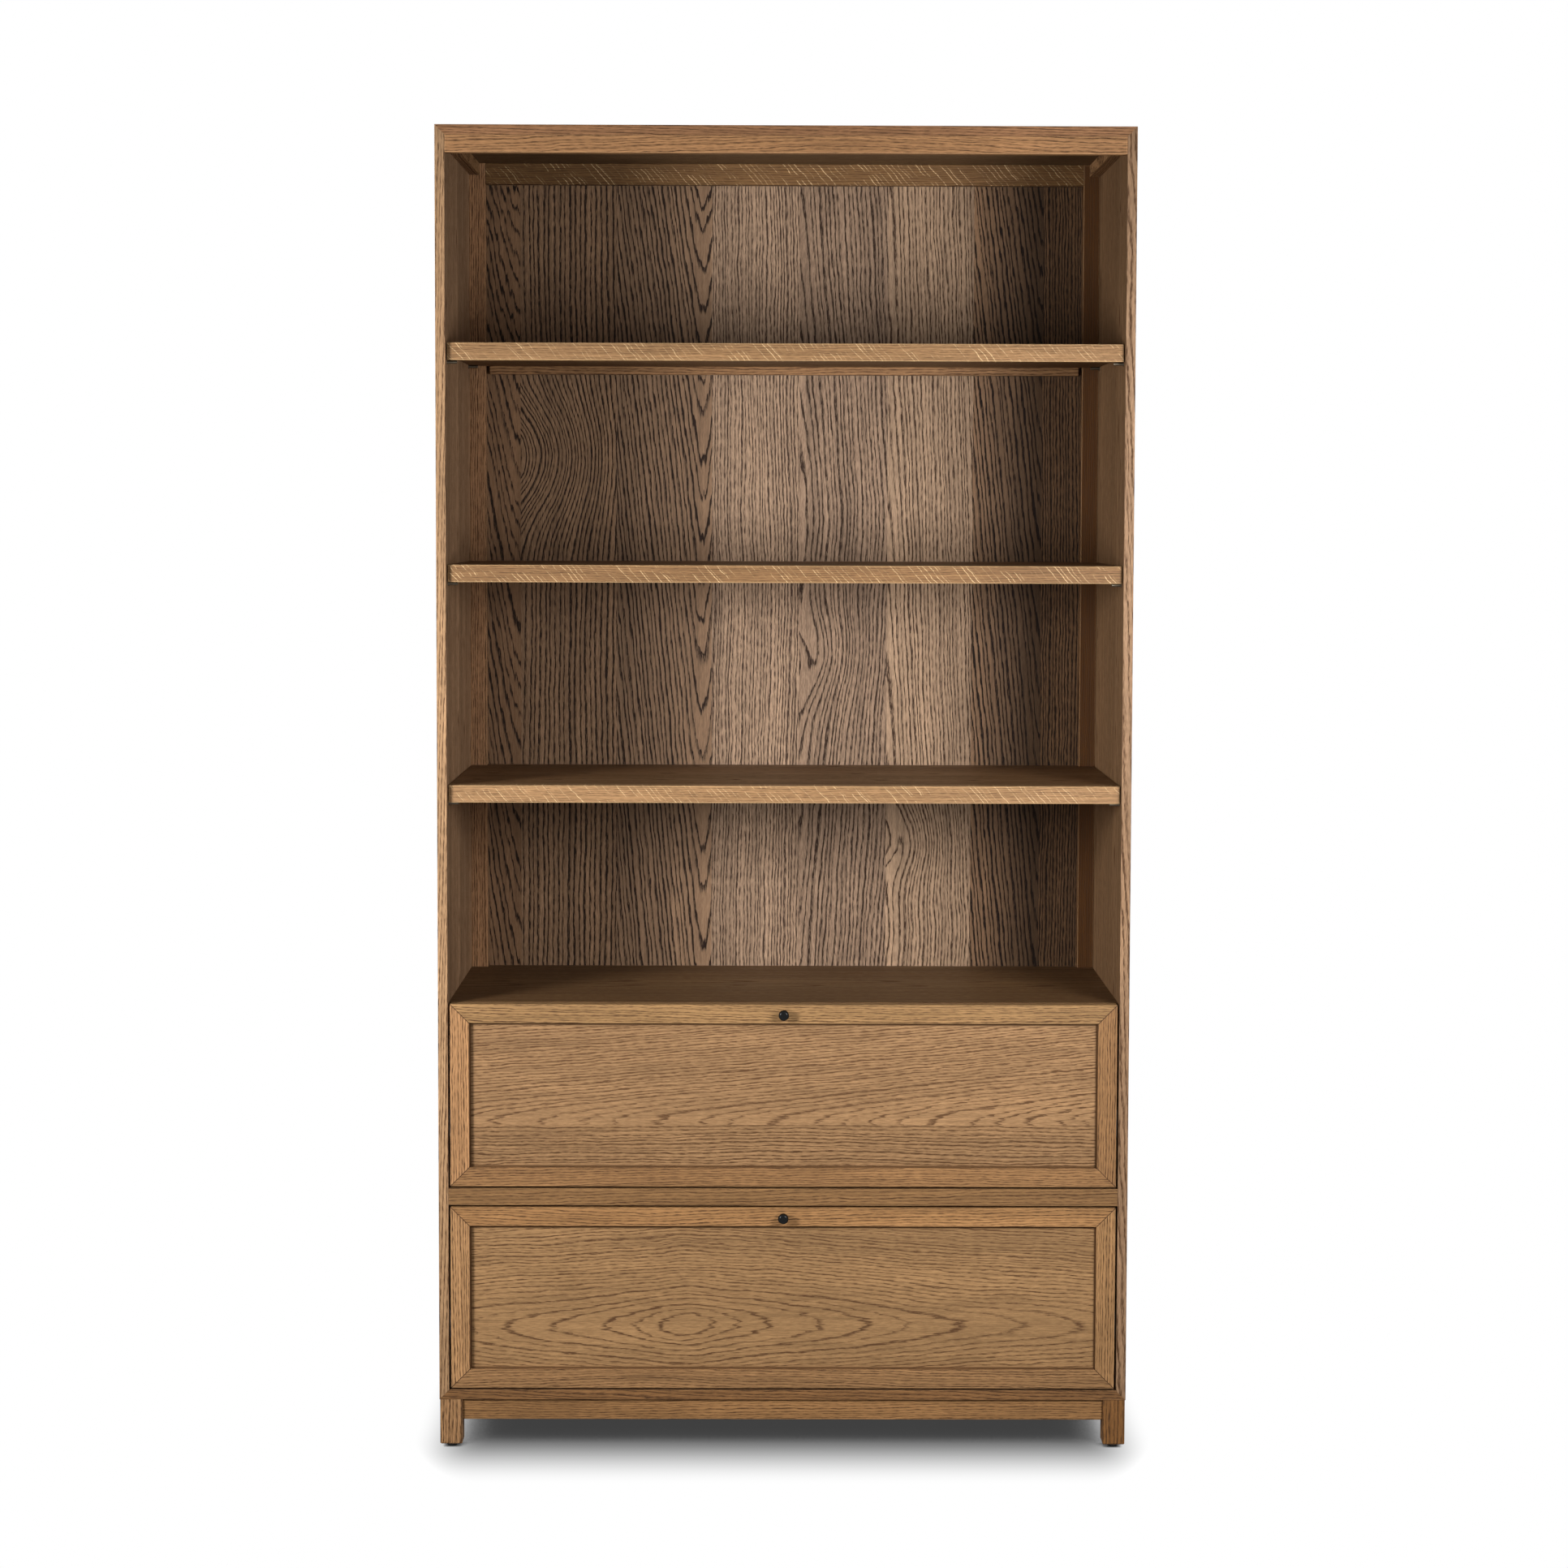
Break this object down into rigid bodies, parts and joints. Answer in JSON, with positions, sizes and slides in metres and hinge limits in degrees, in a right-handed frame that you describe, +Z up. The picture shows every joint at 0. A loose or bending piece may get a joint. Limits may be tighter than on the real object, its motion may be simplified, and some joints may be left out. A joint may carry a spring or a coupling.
{
  "type": "bookcase with bottom drawers",
  "caption": "Tall open bookcase in brown oak with loose shelves on pins over framed drawers on telescopic slides, on short square legs.",
  "frame": {"origin": "on the floor under the middle of the whole object's box", "axes": "+Z up, the front with its drawers faces -Y, +X to the right as seen from the front"},
  "size_m": [1.118, 0.476, 2.137],
  "materials": {
    "solid_oak": "satin lacquered oak",
    "oak_veneer": "satin lacquered oak veneer",
    "oak_back_veneer": "satin lacquered oak veneer in upright strips",
    "box_wood": "clear lacquered pale wood",
    "black_metal": "satin black powder coat",
    "black_plastic": "matte black",
    "zinc_plated_steel": "bright zinc plated",
    "nickel_plated_steel": "nickel plated"
  },
  "bodies": {
    "carcass": {"left_side_panel": "oak_veneer", "right_side_panel": "oak_veneer", "top_panel": "oak_veneer", "bottom_panel": "oak_veneer", "top_front_rail": "solid_oak", "middle_front_rail": "solid_oak", "top_cleats": "solid_oak", "left_back_stile": "solid_oak", "right_back_stile": "solid_oak", "back_top_rail": "solid_oak", "back_panel": "oak_back_veneer", "back_panel_screws": "zinc_plated_steel", "drawer_case_top": "oak_veneer", "front_left_leg": "solid_oak", "front_right_leg": "solid_oak", "back_left_leg": "solid_oak", "back_right_leg": "solid_oak", "front_plinth_rail": "solid_oak", "back_plinth_rail": "solid_oak", "side_plinth_rails": "solid_oak", "foot_glides": "black_plastic", "shelf_pins": "nickel_plated_steel", "slide_case_members": "zinc_plated_steel"},
    "lower_shelf": {"lower_shelf_board": "oak_veneer", "lower_shelf_front_strip": "solid_oak", "lower_shelf_rear_strip": "solid_oak"},
    "middle_shelf": {"middle_shelf_board": "oak_veneer", "middle_shelf_front_strip": "solid_oak", "middle_shelf_rear_strip": "solid_oak"},
    "upper_shelf": {"upper_shelf_board": "oak_veneer", "upper_shelf_front_strip": "solid_oak", "upper_shelf_rear_strip": "solid_oak"},
    "upper_drawer": {"upper_front_bottom_rail": "solid_oak", "upper_front_right_stile": "solid_oak", "upper_front_top_rail": "solid_oak", "upper_front_left_stile": "solid_oak", "upper_front_panel": "oak_veneer", "upper_box_left_side": "box_wood", "upper_box_right_side": "box_wood", "upper_box_front": "box_wood", "upper_box_back": "box_wood", "upper_box_bottom": "box_wood", "upper_knob": "black_metal", "upper_drawer_screws": "zinc_plated_steel", "upper_slide_drawer_members": "zinc_plated_steel"},
    "upper_slide_middle": {"upper_slide_middle_members": "zinc_plated_steel"},
    "lower_drawer": {"lower_front_bottom_rail": "solid_oak", "lower_front_right_stile": "solid_oak", "lower_front_top_rail": "solid_oak", "lower_front_left_stile": "solid_oak", "lower_front_panel": "oak_veneer", "lower_box_left_side": "box_wood", "lower_box_right_side": "box_wood", "lower_box_front": "box_wood", "lower_box_back": "box_wood", "lower_box_bottom": "box_wood", "lower_knob": "black_metal", "lower_drawer_screws": "zinc_plated_steel", "lower_slide_drawer_members": "zinc_plated_steel"},
    "lower_slide_middle": {"lower_slide_middle_members": "zinc_plated_steel"}
  },
  "joints": [
    {"name": "lower_shelf_lift", "type": "slide", "parent": "carcass", "child": "lower_shelf", "axis": [0, 0, 1], "range_m": [0, 0.025]},
    {"name": "middle_shelf_lift", "type": "slide", "parent": "carcass", "child": "middle_shelf", "axis": [0, 0, 1], "range_m": [0, 0.025]},
    {"name": "upper_shelf_lift", "type": "slide", "parent": "carcass", "child": "upper_shelf", "axis": [0, 0, 1], "range_m": [0, 0.025]},
    {"name": "upper_drawer_slide", "type": "slide", "parent": "carcass", "child": "upper_drawer", "axis": [0, -1, 0], "range_m": [0, 0.38]},
    {"name": "upper_slide_middle_travel", "type": "slide", "parent": "carcass", "child": "upper_slide_middle", "axis": [0, -1, 0], "range_m": [0, 0.19]},
    {"name": "lower_drawer_slide", "type": "slide", "parent": "carcass", "child": "lower_drawer", "axis": [0, -1, 0], "range_m": [0, 0.38]},
    {"name": "lower_slide_middle_travel", "type": "slide", "parent": "carcass", "child": "lower_slide_middle", "axis": [0, -1, 0], "range_m": [0, 0.19]}
  ],
  "couplings": [
    {"joint": "upper_slide_middle_travel", "follows": "upper_drawer_slide", "ratio": 0.5},
    {"joint": "lower_slide_middle_travel", "follows": "lower_drawer_slide", "ratio": 0.5}
  ]
}
